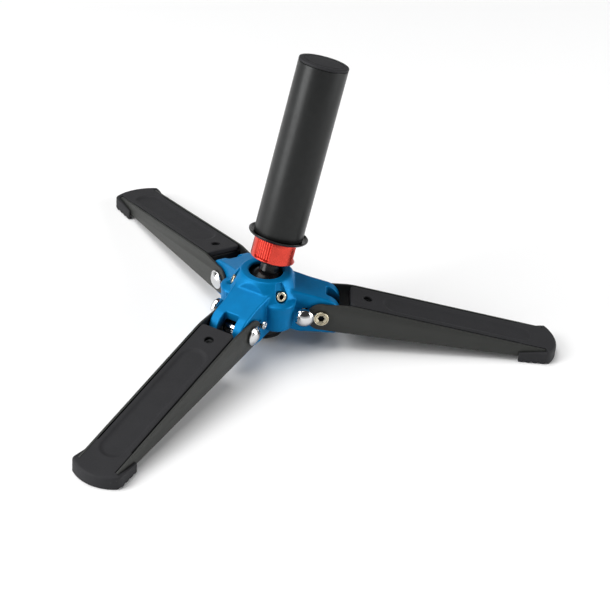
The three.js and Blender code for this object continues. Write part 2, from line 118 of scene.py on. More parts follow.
HUB_FLOOR = 13.6
DRUM_FLOOR = 16.4
NOSE = {"r": 17, "radius": 10.9, "floor": 18, "top": 38.4}
HUB_TOP = measure("hub_casting", HUB)[1][2]
ARM_FLOOR = 11.2
ARM_HALF_WIDTH = 11.9
EAR_RADIUS = 12.4
FORK_START = 39.4
FORK_HALF_WIDTH = 5.4
FACET_FOOT = (18.4, 42)
FACET_HEAD = (17.6, 47.6)
to_pivot = Vector((PIVOT[0] - FACET_FOOT[0], PIVOT[1] - FACET_FOOT[1]))
ARM_FALL = -math.atan2(to_pivot.y, to_pivot.x) - math.asin(EAR_RADIUS / to_pivot.length)
HOLLOW_START = 30.5  # the hollow below the arm's roof
HOLLOW_ROOF = 31.2
BORE_RADIUS = 14.5
MOUTH_RADIUS = 11
WASHER_SEAT = {"radius": 8.3, "bottom": 10.8}
LOCK_BORE = {"wide": 3.1, "narrow": 1.9, "step": 2}
SPRING = {"wire": 0.35, "radius": 2.25, "start": -3.9, "end": 1.3, "turns": 4, "pressed": 0.58}
TENSION = {"r": 22.2, "z": 41, "rise": 20, "floor": -3.6, "radius": 3.3}
POCKET = {"radius": 4.1, "top": 8.8, "top_half_width": 2.1}

channel_low, channel_high = measure("leg_channel_1", LEGS[0])
PLATE_OUTER = channel_high[1]
PLATE_THICKNESS = 1.6
PLATE_LENGTH = channel_high[0]
PLATE_END_RADIUS = PIVOT[0] - channel_low[0]
pad_low, pad_high = measure("leg_pad_1", LEGS[0])
PAD_START = pad_low[0]
PAD_TOP = pad_high[2]
PLATE_TOP = PAD_TOP - 0.4
PAD_HALF_WIDTH = 11.6
PAD_THICKNESS = 3.4
PAD_RECESS = {"start": 21.5, "end": 123, "radius": 9, "deep": 1.1, "wall": 1.8}
FOOT_START = 167
FOOT_REACH = pad_high[0]
FOOT_FRONT_RADIUS = 25.7
FOOT_HALF_WIDTH = 15.8
GROOVES = {"first": 170.8, "pitch": 4.8, "count": 4, "radius": 1.3}  # across the sole
WEB_END = 169.5
SLOPE = math.radians(10.7)
WEB_FOLD = 7.5  # the web's inner end turns down this far
PAD_SCREW = 11.4  # along the pad
PAD_HOLE_RADIUS = 1.8

GRIP_MIDDLE = 113  # one of the collar's grips, in degrees
GRIP_WIDTH = 46
GRIP_RIB = {"pitch": 7.6, "height": 0.55}
THREAD_PITCH = 1.5
TUBE_RADIUS = 16

SEAT = PLATE_OUTER + 0.3  # where the heads of the pivot bolt and screw rest, from the leg's middle


# --- Meshes ---------------------------------------------------------------------------------------

def mesh_of(name, points, faces, sharp=None, normals=None):
    """Mesh from points in millimetres, with the given normals or, without them, with edges left
    sharp where they turn by more than that many degrees."""
    mesh = bpy.data.meshes.new(name)
    mesh.from_pydata((np.array(points, float) * MM).tolist(), [], faces)
    if normals is not None:
        mesh.shade_smooth()
        mesh.normals_split_custom_set_from_vertices(normals.tolist())
        return mesh
    shape = bmesh.new()
    shape.from_mesh(mesh)
    bmesh.ops.recalc_face_normals(shape, faces=shape.faces)
    shape.to_mesh(mesh)
    shape.free()
    mesh.shade_smooth()
    mesh.set_sharp_from_angle(angle=math.radians(sharp))
    return mesh


def stand_in(node, mesh, place):
    """Shows that mesh in place of a CAD node, on the node's own body."""
    piece = bpy.data.objects.new(node + ".fine", mesh)
    bpy.context.scene.collection.objects.link(piece)
    piece.matrix_world = place
    if not mesh.materials:
        mesh.materials.append(finishes[slot_of[node]])
    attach(piece, body_of[node])
    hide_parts(node)
    return piece


def arc(radius, centre, start, end, steps):
    angles = np.radians(np.linspace(start, end, steps + 1))
    return [(centre[0] + radius * math.cos(a), centre[1] + radius * math.sin(a)) for a in angles]


def rounded(corners, steps=4, closed=False):
    """Outline whose (x, y, reach) corners are curves that start that far from the corner."""
    points = []
    for index, (x, y, *reach) in enumerate(corners):
        ends = not closed and index in (0, len(corners) - 1)
        if ends or not reach:
            points.append((x, y))
            continue
        corner = Vector((x, y))
        before = Vector(corners[index - 1][:2]) - corner
        after = Vector(corners[(index + 1) % len(corners)][:2]) - corner
        start = corner + before.normalized() * min(reach[0], before.length * 0.49)
        end = corner + after.normalized() * min(reach[0], after.length * 0.49)
        for t in np.linspace(0, 1, steps + 1):
            point = start * (1 - t) ** 2 + corner * 2 * t * (1 - t) + end * t ** 2
            points.append((point.x, point.y))
    return points


def skin(rings):
    """Faces between rings of vertex numbers, each ring closed. Corners that coincide are dropped."""
    faces = []
    for lower, upper in zip(rings, rings[1:]):
        for k in range(len(lower)):
            following = (k + 1) % len(lower)
            corners = [lower[k], lower[following], upper[following], upper[k]]
            corners = list(dict.fromkeys(corners))
            if len(corners) > 2:
                faces.append(corners)
    return faces


def turned(name, profile, segments=96, closed=False):
    """Profile of (radius, height) turned about Z, from axis to axis or closed on itself.
    A third value makes that ring a regular outline with so many flats, radius being the half-width
    across them."""
    angles = np.arange(segments) * 2 * math.pi / segments
    points, rings = [], []
    for radius, height, *flats in profile:
        start = len(points)
        if radius < 1e-6:
            points.append((0, 0, height))
            rings.append([start] * segments)
            continue
        sector = 2 * math.pi / flats[0] if flats else None
        for a in angles:
            reach = radius / math.cos(a % sector - sector / 2) if sector else radius
            points.append((reach * math.cos(a), reach * math.sin(a), height))
        rings.append(list(range(start, start + segments)))
    if closed:
        rings.append(rings[0])
    return mesh_of(name, points, skin(rings), 40)


def inset(outline, distance):
    """A counterclockwise outline moved inwards."""
    points = np.array(outline, float)
    forward = np.roll(points, -1, 0) - points
    forward /= np.linalg.norm(forward, axis=1)[:, None]
    inward = np.stack([-forward[:, 1], forward[:, 0]], 1)
    before = np.roll(inward, 1, 0)
    mitre = (inward + before) / (1 + (inward * before).sum(1))[:, None]
    return points + distance * mitre


def sheet_metal(name, outline, low, high, edge=0.3):
    """Outline in a leg's (outwards, up) plane, thick from low to high sideways, edges rounded."""
    levels = [(low, edge), (low + 0.3 * edge, 0.3 * edge), (low + edge, 0),
              (high - edge, 0), (high - 0.3 * edge, 0.3 * edge), (high, edge)]
    points, rings = [], []
    for sideways, narrower in levels:
        start = len(points)
        points += [(r, sideways, z) for r, z in inset(outline, narrower)]
        rings.append(list(range(start, len(points))))
    return mesh_of(name, points, skin(rings) + [rings[0], rings[-1]], 25)


def combined(name, first, steps):
    """Mesh after joining (UNION) or cutting (DIFFERENCE) other meshes, one after another."""
    helper = bpy.data.objects.new(name, first)
    bpy.context.scene.collection.objects.link(helper)
    tools = []
    for operation, mesh in steps:
        tool = bpy.data.objects.new(name + "_tool", mesh)
        bpy.context.scene.collection.objects.link(tool)
        tools.append(tool)
        modifier = helper.modifiers.new(operation, "BOOLEAN")
        modifier.operation = operation
        modifier.solver = "EXACT"
        modifier.object = tool
    evaluated = helper.evaluated_get(bpy.context.evaluated_depsgraph_get())
    mesh = bpy.data.meshes.new_from_object(evaluated)
    for used in [helper, *tools]:
        bpy.data.objects.remove(used)
    mesh.shade_smooth()
    mesh.set_sharp_from_angle(angle=math.radians(25))
    return mesh


# --- Solids described by distance fields ------------------------------------------------------------
# A field gives the signed distance to a surface in millimetres, negative inside.

def union(a, b, radius):
    """Both solids, with a fillet where they meet."""
    near = np.hypot(np.maximum(radius - a, 0), np.maximum(radius - b, 0))
    return np.maximum(radius, np.minimum(a, b)) - near


def common(a, b, radius):
    """What both solids share, with its edge rounded."""
    near = np.hypot(np.maximum(radius + a, 0), np.maximum(radius + b, 0))
    return np.minimum(-radius, np.maximum(a, b)) + near


def less(a, b, radius):
    """The first solid without the second, with the edge of the cut rounded."""
    return common(a, -b, radius)


def polygon(u, v, outline):
    """Distance in a plane to a closed outline."""
    nearest = np.full(np.shape(u), np.inf)
    inside = np.zeros(np.shape(u), bool)
    for (ax, ay), (bx, by) in zip(outline, outline[1:] + outline[:1]):
        ex, ey = bx - ax, by - ay
        along = np.clip(((u - ax) * ex + (v - ay) * ey) / (ex * ex + ey * ey), 0, 1)
        nearest = np.minimum(nearest, (u - ax - along * ex) ** 2 + (v - ay - along * ey) ** 2)
        if ey:
            inside ^= ((ay > v) != (by > v)) & (u < ax + (v - ay) * ex / ey)
    return np.where(inside, -1, 1) * np.sqrt(nearest)


def folded(x, y, offset):
    """Coordinates along and across the nearest of three even directions, the first at offset
    degrees."""
    angle = np.arctan2(y, x) - math.radians(offset)
    sector = 2 * math.pi / LEG_COUNT
    angle -= sector * np.round(angle / sector)
    reach = np.hypot(x, y)
    return reach * np.cos(angle), reach * np.sin(angle)


def slope_of(field, points):
    """Gradient of a field by central differences."""
    small = 0.02
    columns = []
    for axis in range(3):
        step = np.zeros(3)
        step[axis] = small
        ahead, behind = field(*(points + step).T), field(*(points - step).T)
        columns.append((ahead - behind) / (2 * small))
    return np.stack(columns, 1)


def sampled(field, x, y, z, cell):
    """Field on a whole grid: exact near the surface, taken from a coarse grid elsewhere."""
    skip = 4  # cells of the whole grid in one of the coarse grid
    rough = field(x[::skip, ::skip, ::skip], y[::skip, ::skip, ::skip], z[::skip, ::skip, ::skip])
    for axis in range(3):
        rough = rough.repeat(skip, axis)
    value = rough[: x.shape[0], : x.shape[1], : x.shape[2]].copy()
    near = np.abs(value) < 1.8 * skip * cell
    value[near] = field(x[near], y[near], z[near])
    return value


def surface(name, field, low, high, cell):
    """Mesh of the surface of a field by surface nets: one vertex in each cell that it crosses."""
    axes = [np.arange(a, b + cell, cell) for a, b in zip(low, high)]
    value = sampled(field, *np.meshgrid(*axes, indexing="ij"), cell)
    inside = (value < 0).astype(np.int8)
    ends = [slice(None, -1), slice(1, None)]
    corners = sum(inside[i, j, k] for i in ends for j in ends for k in ends)
    active = (corners > 0) & (corners < 8)
    number = np.cumsum(active.ravel()).reshape(active.shape) - 1
    count = int(active.sum())
    total, hits, quads = np.zeros((count, 3)), np.zeros(count), []
    steps = np.eye(3, dtype=int)
    for axis in range(3):
        b, c = steps[(axis + 1) % 3], steps[(axis + 2) % 3]
        start, end = [slice(None)] * 3, [slice(None)] * 3
        start[axis], end[axis] = ends
        first, second = value[tuple(start)], value[tuple(end)]
        edge = np.argwhere((first < 0) != (second < 0))
        at_start, at_end = first[tuple(edge.T)], second[tuple(edge.T)]
        point = edge.astype(float)
        point[:, axis] += at_start / (at_start - at_end)
        ring = [number[tuple(cell_of.T)] for cell_of in (edge - b - c, edge - c, edge, edge - b)]
        for numbers in ring:
            hits += np.bincount(numbers, minlength=count)
            for k in range(3):
                total[:, k] += np.bincount(numbers, point[:, k], count)
        around = np.stack(ring, 1)
        outside_first = at_start > 0
        around[outside_first] = around[outside_first][:, ::-1]
        quads.append(around)
    points = np.array(low) + cell * total / hits[:, None]
    for _ in range(2):
        slope = slope_of(field, points)
        push = field(*points.T) / np.maximum((slope ** 2).sum(1), 0.25)
        points -= slope * np.clip(push, -cell / 2, cell / 2)[:, None]
    normals = slope_of(field, points)
    normals /= np.maximum(np.linalg.norm(normals, axis=1), 1e-6)[:, None]
    return mesh_of(name, points, np.concatenate(quads).tolist(), normals=normals)


# --- Materials --------------------------------------------------------------------------------------

# Colour of painted shade, laid into hollows where real shade falls.
PAINTED_SHADE = (0.004, 0.005, 0.006, 1)


class Finish:
    """A material with short ways to add shader nodes. Sizes are in millimetres."""

    def __init__(self, name, colour, metallic=0.0, specular=0.5):
        self.material = bpy.data.materials.new(name)
        self.material.use_nodes = True
        self.tree = self.material.node_tree
        self.shader = self.tree.nodes["Principled BSDF"]
        self.shader.inputs["Metallic"].default_value = metallic
        self.shader.inputs["Specular IOR Level"].default_value = specular
        self.colour = colour
        self.place = self.add("TexCoord")["Object"]

    def add(self, kind, settings=None, **inputs):
        node = self.tree.nodes.new("ShaderNode" + kind)
        for key, value in (settings or {}).items():
            setattr(node, key, value)
        for key, value in inputs.items():
            self.feed(node.inputs[key.replace("_", " ")], value)
        return node.outputs

    def feed(self, socket, value):
        if isinstance(value, bpy.types.NodeSocket):
            self.tree.links.new(value, socket)
        else:
            socket.default_value = value

    def noise(self, size, detail=3.0, place=None):
        """Noise whose features are about that many millimetres across."""
        return self.add("TexNoise", Vector=place or self.place, Scale=1 / (size * MM),
                        Detail=detail)["Fac"]

    def between(self, value, low, high, start=0.3, end=0.7):
        """Maps start..end of a value to low..high."""
        return self.add("MapRange", Value=value, From_Min=start, From_Max=end, To_Min=low,
                        To_Max=high)["Result"]

    def mix(self, factor, a, b):
        node = self.tree.nodes.new("ShaderNodeMix")
        node.data_type = "RGBA"
        for socket, value in zip((node.inputs[0], node.inputs[6], node.inputs[7]), (factor, a, b)):
            self.feed(socket, value)
        return node.outputs[2]

    def edges(self, low=0.52, high=0.6):
        """0 on flat places, up to 1 on outer edges, where a painted highlight goes."""
        point = self.add("NewGeometry")["Pointiness"]
        return self.between(point, 0, 1, low, high)

    def in_painted_shade(self, colour):
        """Nearly black where the mesh's attribute says so: painted shade in forks, the mouth, sockets and between
        plates.
        """
        hollow = self.add("Attribute", {"attribute_name": "hollow"})["Fac"]
        return self.mix(hollow, colour, PAINTED_SHADE)

    def wall_lines(self, spacing):
        """Noise that only changes along Z and with the distance from it: turning marks."""
        x, y, z = self.add("SeparateXYZ", Vector=self.place).values()
        flat = self.add("CombineXYZ", X=x, Y=y)["Vector"]
        radius = self.add("VectorMath", {"operation": "LENGTH"}, Vector=flat)["Value"]
        rings = self.add("CombineXYZ", X=radius, Z=z)["Vector"]
        return self.noise(spacing, 2, rings)

    def tones(self, factor, dark, light):
        """The colour, between a darker and a lighter share of it."""
        low, high = [tuple(min(1, c * share) for c in self.colour) + (1,) for share in (dark, light)]
        return self.mix(factor, low, high)

    def done(self, colour, roughness, *bumps):
        """Joins colour, roughness and the (height noise, millimetres) bumps to the shader."""
        self.feed(self.shader.inputs["Base Color"], colour)
        self.feed(self.shader.inputs["Roughness"], roughness)
        normal = None
        for height, depth in bumps:
            inputs = {"Height": height, "Distance": depth * MM, "Strength": 1.0}
            if normal is not None:
                inputs["Normal"] = normal
            normal = self.add("Bump", **inputs)["Normal"]
        if normal is not None:
            self.feed(self.shader.inputs["Normal"], normal)
        return self.material


def srgb(red, green, blue):
    """Linear colour from 8-bit display values."""
    return tuple(((c / 255 + 0.055) / 1.055) ** 2.4 if c > 10 else c / 3294.6
                 for c in (red, green, blue))


def painted_casting(name, colour):
    """Satin paint on a casting: orange peel, slow changes of tone, a painted highlight on the edges and painted
    shade in hollows.
    """
    f = Finish(name, colour, metallic=0.35, specular=0.1)
    slow = f.between(f.noise(9, 4), 0, 1)
    tone = f.tones(slow, 0.92, 1.06)
    # Painted highlight along the edges, then painted shade in the hollows.
    pale = tuple(min(1, c * 1.25 + 0.015) for c in colour) + (1,)
    tone = f.in_painted_shade(f.mix(f.edges(), tone, pale))
    rough = f.between(f.noise(1.6), 0.40, 0.50)
    return f.done(tone, rough, (f.noise(0.9, 2), 0.006), (f.noise(0.18, 2), 0.0012))


def turned_metal(name, colour, roughness, metallic, marks, peel=0.0):
    """Turned and anodised or plated metal: fine turning marks and a little change of gloss."""
    f = Finish(name, colour, metallic, specular=0.3)
    # Painted shade in hollows and sockets, from the mesh's attribute.
    tone = f.in_painted_shade(f.tones(f.between(f.noise(5, 3), 0, 1), 0.93, 1.06))
    rough = f.between(f.noise(2.2), roughness * 0.88, roughness * 1.14)
    bumps = [(f.wall_lines(0.16), marks)]
    if peel:
        bumps.append((f.noise(0.5), peel))
    return f.done(tone, rough, *bumps)


def polished(name, colour):
    """Bright plating with faint waves, as thin chrome on a polished part has."""
    f = Finish(name, colour, metallic=1.0)
    tone = f.tones(f.between(f.noise(3), 0, 1), 0.97, 1.0)
    rough = f.between(f.noise(0.8, 4), 0.05, 0.12)
    return f.done(tone, rough, (f.noise(2.5, 1), 0.004))


def powder_coat(name, colour):
    """Satin powder coat on sheet metal, with a fine pebbled skin, a painted highlight on the edges and painted
    shade in hollows.
    """
    f = Finish(name, colour, specular=0.25)
    tone = f.tones(f.between(f.noise(14, 4), 0, 1), 0.93, 1.07)
    # Painted highlight along the edges, then painted shade in the hollows.
    pale = tuple(c * 1.7 + 0.01 for c in colour) + (1,)
    tone = f.in_painted_shade(f.mix(f.edges(0.53, 0.66), tone, pale))
    rough = f.between(f.noise(0.6), 0.42, 0.54)
    return f.done(tone, rough, (f.noise(0.45, 2), 0.010), (f.noise(6, 2), 0.02))


def moulding(name, colour, roughness=0.7, grain=0.35, depth=0.02):
    """Moulded plastic or rubber with a spark-eroded grain, a painted highlight on the edges and painted shade in
    hollows.
    """
    f = Finish(name, colour, specular=0.2)
    tone = f.tones(f.between(f.noise(11, 4), 0, 1), 0.94, 1.06)
    cells = f.add("TexVoronoi", Vector=f.place, Scale=1 / (grain * MM))["Distance"]
    # Painted highlight along the edges, then painted shade in the hollows.
    pale = tuple(c * 1.5 + 0.006 for c in colour) + (1,)
    tone = f.in_painted_shade(f.mix(f.edges(0.53, 0.7), tone, pale))
    rough = f.between(f.noise(0.8), roughness - 0.06, roughness + 0.06)
    return f.done(tone, rough, (cells, depth), (f.noise(grain * 0.5, 2), depth * 0.4))


finishes = {
    "blue_casting": painted_casting("blue_casting", srgb(0, 112, 168)),
    "red_anodised": turned_metal("red_anodised", srgb(214, 72, 60), 0.28, 0.9, 0.0013),
    "black_anodised": turned_metal("black_anodised", srgb(34, 35, 35), 0.34, 0.35, 0.0006, 0.0012),
    "gloss_black": turned_metal("gloss_black", srgb(14, 14, 15), 0.24, 0.1, 0.0005),
    "black_paint": powder_coat("black_paint", srgb(44, 45, 43)),
    "black_moulding": moulding("black_moulding", srgb(40, 40, 42)),
    "black_rubber": moulding("black_rubber", srgb(28, 28, 29), 0.82, 0.5, 0.03),
    "chrome": polished("chrome", (0.66, 0.665, 0.67)),
    "nickel": turned_metal("nickel", srgb(205, 196, 172), 0.2, 1.0, 0.002),
    "spring_steel": turned_metal("spring_steel", srgb(180, 182, 184), 0.3, 1.0, 0.001),
    "black_nylon": moulding("black_nylon", srgb(24, 24, 25), 0.5, 0.25, 0.006),
    "bronze": turned_metal("bronze", srgb(176, 134, 78), 0.42, 1.0, 0.001, 0.004),
}


# --- Hub --------------------------------------------------------------------------------------------

def arm_top(x, z):
    """Height above the arm's sloping top face."""
    return (x - FACET_FOOT[0]) * math.sin(ARM_FALL) + (z - FACET_FOOT[1]) * math.cos(ARM_FALL)


def drum_and_facets(reach, x, z):
    """The hub's turned body, cut away above each arm behind a flat facet."""
    side = rounded([
        (-10, DRUM_FLOOR), (21.6, DRUM_FLOOR, 2), (22.9, 34, 3), (23.3, 36.6, 1.0), (22.9, 38.2, 1.0),
        (16.6, 49.2, 3), (14, HUB_TOP, 1), (-10, HUB_TOP)], 6)
    drum = polygon(reach, z, side)
    tilt = math.atan2(FACET_FOOT[0] - FACET_HEAD[0], FACET_HEAD[1] - FACET_FOOT[1])
    facet = (x - FACET_FOOT[0]) * math.cos(tilt) + (z - FACET_FOOT[1]) * math.sin(tilt)
    below_arm_top = arm_top(x, z) + 2
    return common(drum, np.minimum(facet, below_arm_top), 0.35)


def arm(x, y, z):
    """One forked arm: its side outline and its tapered plan."""
    inward = 8
    ear = arc(EAR_RADIUS, PIVOT, 4, 90 - math.degrees(ARM_FALL), 28)
    start = FACET_FOOT[0] - inward
    side = rounded([
        (start, HUB_FLOOR), (FACET_FOOT[0] - 1, HUB_FLOOR, 3), (FACET_FOOT[0] + 5, ARM_FLOOR, 3),
        (PIVOT[0] + 11.2, ARM_FLOOR, 2.5), (PIVOT[0] + 12.3, 16, 3)], 6)
    side += [*ear, FACET_FOOT, (start, FACET_FOOT[1] + inward * math.tan(ARM_FALL))]
    tip = PIVOT[0] + EAR_RADIUS + 1
    plan = rounded([(5, 13.6), (18, 13.1, 3), (24, 12.4, 3), (29, ARM_HALF_WIDTH, 3),
                    (tip - 1, ARM_HALF_WIDTH, 3), (tip, ARM_HALF_WIDTH - 4, 3), (tip, -5), (5, -5)])
    return common(polygon(x, z, side), polygon(x, np.abs(y), plan), 1.3)


def nose(x, y, z):
    """Round bulge below a tension screw."""
    radius, floor, top = NOSE["radius"], NOSE["floor"], NOSE["top"]
    side = rounded([(-20, floor), (radius - 0.3, floor, 1.8), (radius, top - 7, 2),
                    (radius + 0.8, top - 1.9, 1.5), (5.5, top, 1.5), (-20, top)], 6)
    return polygon(np.hypot(x - NOSE["r"], y), z, side)


def fork(x, y, z):
    """The slot between the ears, and the hollow below the arm's roof."""
    slot = common(FORK_START - x, np.abs(y) - FORK_HALF_WIDTH, 1.8)
    hollow = common(HOLLOW_START - x, np.abs(y) - FORK_HALF_WIDTH, 1.5)
    hollow = common(hollow, z - HOLLOW_ROOF, 2.5)
    return np.minimum(slot, hollow)


def pocket_outline():
    """Round at the bottom, and narrower to its flat top."""
    radius, top, half = POCKET["radius"], POCKET["top"], POCKET["top_half_width"]
    side = math.degrees(math.atan2(half, top) + math.acos(radius / math.hypot(half, top)))
    bottom = arc(radius, (0, 0), 90 + side, 450 - side, 24)
    return rounded([*bottom, (half, top, 0.8), (-half, top, 0.8)], closed=True)


def screw_pocket(x, y, z):
    """Pocket for a tension screw, and its threaded hole."""
    rise = math.radians(TENSION["rise"])
    out = (x - TENSION["r"]) * math.cos(rise) + (z - TENSION["z"]) * math.sin(rise)
    up = (z - TENSION["z"]) * math.cos(rise) - (x - TENSION["r"]) * math.sin(rise)
    pocket = common(polygon(y, up, pocket_outline()), TENSION["floor"] - out, 0.6)
    hole = np.maximum(np.hypot(y, up) - TENSION["radius"] - 0.3, -14 - out)
    return pocket, hole


def hub_field(x, y, z):
    reach = np.hypot(x, y)
    arm_x, arm_y = folded(x, y, 0)
    screw_x, screw_y = folded(x, y, 60)
    whole = union(drum_and_facets(reach, arm_x, z), arm(arm_x, arm_y, z), 0.9)
    whole = union(whole, nose(screw_x, screw_y, z), 0.9)
    bore = rounded([(-10, 0), (BORE_RADIUS, 0), (BORE_RADIUS, 44.6), (MOUTH_RADIUS + 0.3, 46.6),
                    (MOUTH_RADIUS, HUB_TOP - 2, 0.5), (MOUTH_RADIUS, 60), (-10, 60)])
    whole = less(whole, polygon(reach, z, bore), 1.3)
    whole = less(whole, fork(arm_x, arm_y, z), 0.6)
    pocket, hole = screw_pocket(screw_x, screw_y, z)
    whole = np.maximum(less(whole, pocket, 0.45), -hole)
    from_pivot = np.hypot(arm_x - PIVOT[0], z - PIVOT[1])
    washer_seat = np.maximum(from_pivot - WASHER_SEAT["radius"],
                             WASHER_SEAT["bottom"] - np.abs(arm_y))
    lock_bore = np.where(arm_y < LOCK_BORE["step"], LOCK_BORE["wide"], LOCK_BORE["narrow"])
    lock_hole = np.hypot(arm_x - LOCK[0], z - LOCK[1]) - lock_bore
    holes = np.minimum(from_pivot - PIVOT_RADIUS - 0.2, lock_hole)
    return less(whole, np.minimum(holes, washer_seat), 0.25)


def build_hub():
    reach = PIVOT[0] + EAR_RADIUS + 3
    low, high = (-reach, -reach, ARM_FLOOR - 2), (reach, reach, HUB_TOP + 2)
    hub = surface("hub", hub_field, low, high, CELL)
    paint_hub_shade(hub)
    stand_in("hub_casting", hub, HUB)
    build_base()
    screw = tension_screw()
    for index in range(LEG_COUNT):
        place = (HUB @ turn_about("Z", 60 + 120 * index) @ shift(TENSION["r"], 0, TENSION["z"])
                 @ turn_about("Y", 90 - TENSION["rise"]))
        stand_in(f"tension_screw_{index + 1}", screw, place)


def places_of(mesh):
    """Coordinates of a mesh's vertices in millimetres, as three arrays."""
    points = np.empty(len(mesh.vertices) * 3)
    mesh.vertices.foreach_get("co", points)
    return points.reshape(-1, 3).T / MM


def mark_painted_shade(mesh, depth):
    """Keeps how deep in painted shade each vertex is, from 0 to 1, for the finish."""
    hollow = mesh.attributes.new("hollow", "FLOAT", "POINT")
    hollow.data.foreach_set("value", np.clip(depth, 0, 1).astype(np.float32))


def paint_hub_shade(mesh):
    """Marks how far a point lies inside the forks and the mouth, for painted shade that darkens the paint there.
    """
    x, y, z = places_of(mesh)
    arm_x, arm_y = folded(x, y, 0)
    below_roof = -arm_top(arm_x, z) - 2.5
    in_fork = np.minimum(FORK_HALF_WIDTH + 0.1 - np.abs(arm_y), below_roof)
    in_fork = np.where(arm_x > HOLLOW_START - 1, in_fork + 0.4, 0)
    in_mouth = np.where(np.hypot(x, y) < BORE_RADIUS + 0.3, HUB_TOP - 1.2 - z, 0)
    mark_painted_shade(mesh, np.maximum(np.clip(in_fork, 0, 0.4) * below_roof / 2.5, in_mouth / 2))


def paint_socket_shade(mesh, socket, depth):
    """Paints shade into the bottom of a screw's socket. The depth is a function of the height."""
    x, y, z = places_of(mesh)
    mark_painted_shade(mesh, np.where(np.hypot(x, y) < socket * 1.16, depth(z) * 2, 0))


def build_base():
    """Turned plug in the hub's lower bore, with its rubber pad."""
    low, high = measure("base_plug", HUB)
    bottom, top, wide = low[2], high[2], high[0]
    stand_in("base_plug", turned("base_plug", rounded([
        (0, bottom), (13.8, bottom, 0.8), (13.8, 9.6, 0.3), (13.4, 9.9, 0.3), (13.4, 10.3, 0.3),
        (13.8, 10.6, 0.3), (13.8, 12.4), (wide, 12.7), (wide, top, 0.3), (12, top, 0.3),
        (10.5, top - 2.4), (0, top - 2.4)])), HUB)
    low, high = measure("base_pad", HUB)
    bottom, top, wide = low[2], high[2], high[0]
    stand_in("base_pad", turned("base_pad", rounded([
        (0, bottom), (9.6, bottom, 0.2), (9.9, bottom + 0.4, 0.2), (10.5, bottom + 0.4, 0.2),
        (10.8, bottom, 0.2), (wide, bottom, 0.7), (wide, top, 0.3), (0, top)])), HUB)


def tension_screw():
    wide, top = TENSION["radius"], -0.9
    socket = 1.6
    screw = turned("tension_screw", [
        *rounded([(0, -7.4), (2.6, -7.4, 0.2), (wide, -6.7, 0.2), (wide, top, 0.6), (2.1, top)]),
        (socket + 0.15, top, 6), (socket, top - 0.15, 6), (socket, top - 1.9, 6),
        (0, top - 2.3)], 72)
    # Painted shade in the bottom of the hexagonal socket.
    paint_socket_shade(screw, socket, lambda height: top - 0.9 - height)
    return screw


# --- Legs -------------------------------------------------------------------------------------------

def plate_top(r):
    return PLATE_TOP - max(0, r - PAD_START) * math.tan(SLOPE)


def pad_underside(r):
    return PAD_TOP - (r - PAD_START) * math.tan(SLOPE) - PAD_THICKNESS


def leg_channel():
    """Two side plates and the web that joins them below the pad."""
    top_angle = math.degrees(math.asin((PLATE_TOP - PIVOT[1]) / PLATE_END_RADIUS))
    outline = rounded([
        *arc(PLATE_END_RADIUS, PIVOT, top_angle, 270, 48), (48, 13.5, 3), (PLATE_LENGTH, 2.1, 0.8),
        (PLATE_LENGTH, plate_top(PLATE_LENGTH), 1.0), (PAD_START, PLATE_TOP, 4)], closed=True)
    inner = PLATE_OUTER - PLATE_THICKNESS
    start, end = PAD_START - 0.3, WEB_END
    web_top = [(start, pad_underside(start) - 0.3), (end, pad_underside(end) - 0.3)]
    fold = start + PLATE_THICKNESS
    low_end = web_top[0][1] - WEB_FOLD
    web = rounded([(start, low_end), (fold, low_end), (fold, web_top[0][1] - 1.9, 1.2),
                   (end, web_top[1][1] - PLATE_THICKNESS), web_top[1], (*web_top[0], 1.5)],
                  closed=True)
    left = sheet_metal("plate", outline, inner, PLATE_OUTER)
    right = sheet_metal("plate", outline, -PLATE_OUTER, -inner)
    bridge = sheet_metal("web", web, -inner - 0.5, inner + 0.5, 0.2)
    pivot_hole = turned("hole", [(0, -20), (PIVOT_RADIUS + 0.2, -20), (PIVOT_RADIUS + 0.2, 20),
                                 (0, 20)], 48)
    pivot_hole.transform(shift(PIVOT[0], 0, PIVOT[1]) @ turn_about("X", -90))
    screw_hole = turned("hole", [(0, -10), (PAD_HOLE_RADIUS, -10), (PAD_HOLE_RADIUS, 2), (0, 2)],
                        32)
    screw_hole.transform(PAD @ shift(PAD_SCREW, 0, 0))
    channel = combined("leg_channel", left, [
        ("UNION", bridge), ("UNION", right), ("DIFFERENCE", pivot_hole), ("DIFFERENCE", screw_hole)])
    # Painted shade on the plates' inner faces and the web between them.
    width = np.abs(places_of(channel)[1])
    mark_painted_shade(channel, np.where(width < inner + 0.2, 0.8, 0))
    return channel


# The pad's own frame, in a leg: outwards along its top, sideways, and up from its top.
PAD = shift(PAD_START, 0, PAD_TOP) @ Matrix.Rotation(SLOPE, 4, "Y")


def foot_field(r, sideways, z, above):
    """Foot below the pad's outer end: an arc in front, wings outside the plates, ribs below."""
    width = np.abs(sideways)
    front = np.hypot(r - (FOOT_REACH - FOOT_FRONT_RADIUS), width) - FOOT_FRONT_RADIUS
    flank = width - (FOOT_HALF_WIDTH + (r - FOOT_START) * 0.065)
    plan = common(common(front, flank, 2.0), FOOT_START - r, 0.8)
    foot = common(common(plan, above, 1.6), -z, 0.5)
    wing_top = 5.2 + (r - 150) * 0.0958
    wing_cut = np.maximum(np.maximum(PLATE_OUTER + 0.3 - width, wing_top - z),
                          r - PLATE_LENGTH - 1)
    foot = less(foot, wing_cut, 0.7)
    plate_middle = PLATE_OUTER - PLATE_THICKNESS / 2
    plate_slot = np.maximum(np.abs(width - plate_middle) - PLATE_THICKNESS / 2 - 0.3,
                            np.maximum(r - PLATE_LENGTH - 0.3, 1 - z))
    below_web = np.maximum(np.maximum(width - plate_middle, r - WEB_END - 1),
                           above + PAD_THICKNESS)
    foot = less(foot, np.minimum(plate_slot, below_web), 0.3)
    beyond, pitch = r - GROOVES["first"], GROOVES["pitch"]
    from_groove = beyond - pitch * np.clip(np.round(beyond / pitch), 0, GROOVES["count"] - 1)
    return less(foot, np.hypot(from_groove, z + 0.5) - GROOVES["radius"], 0.4)


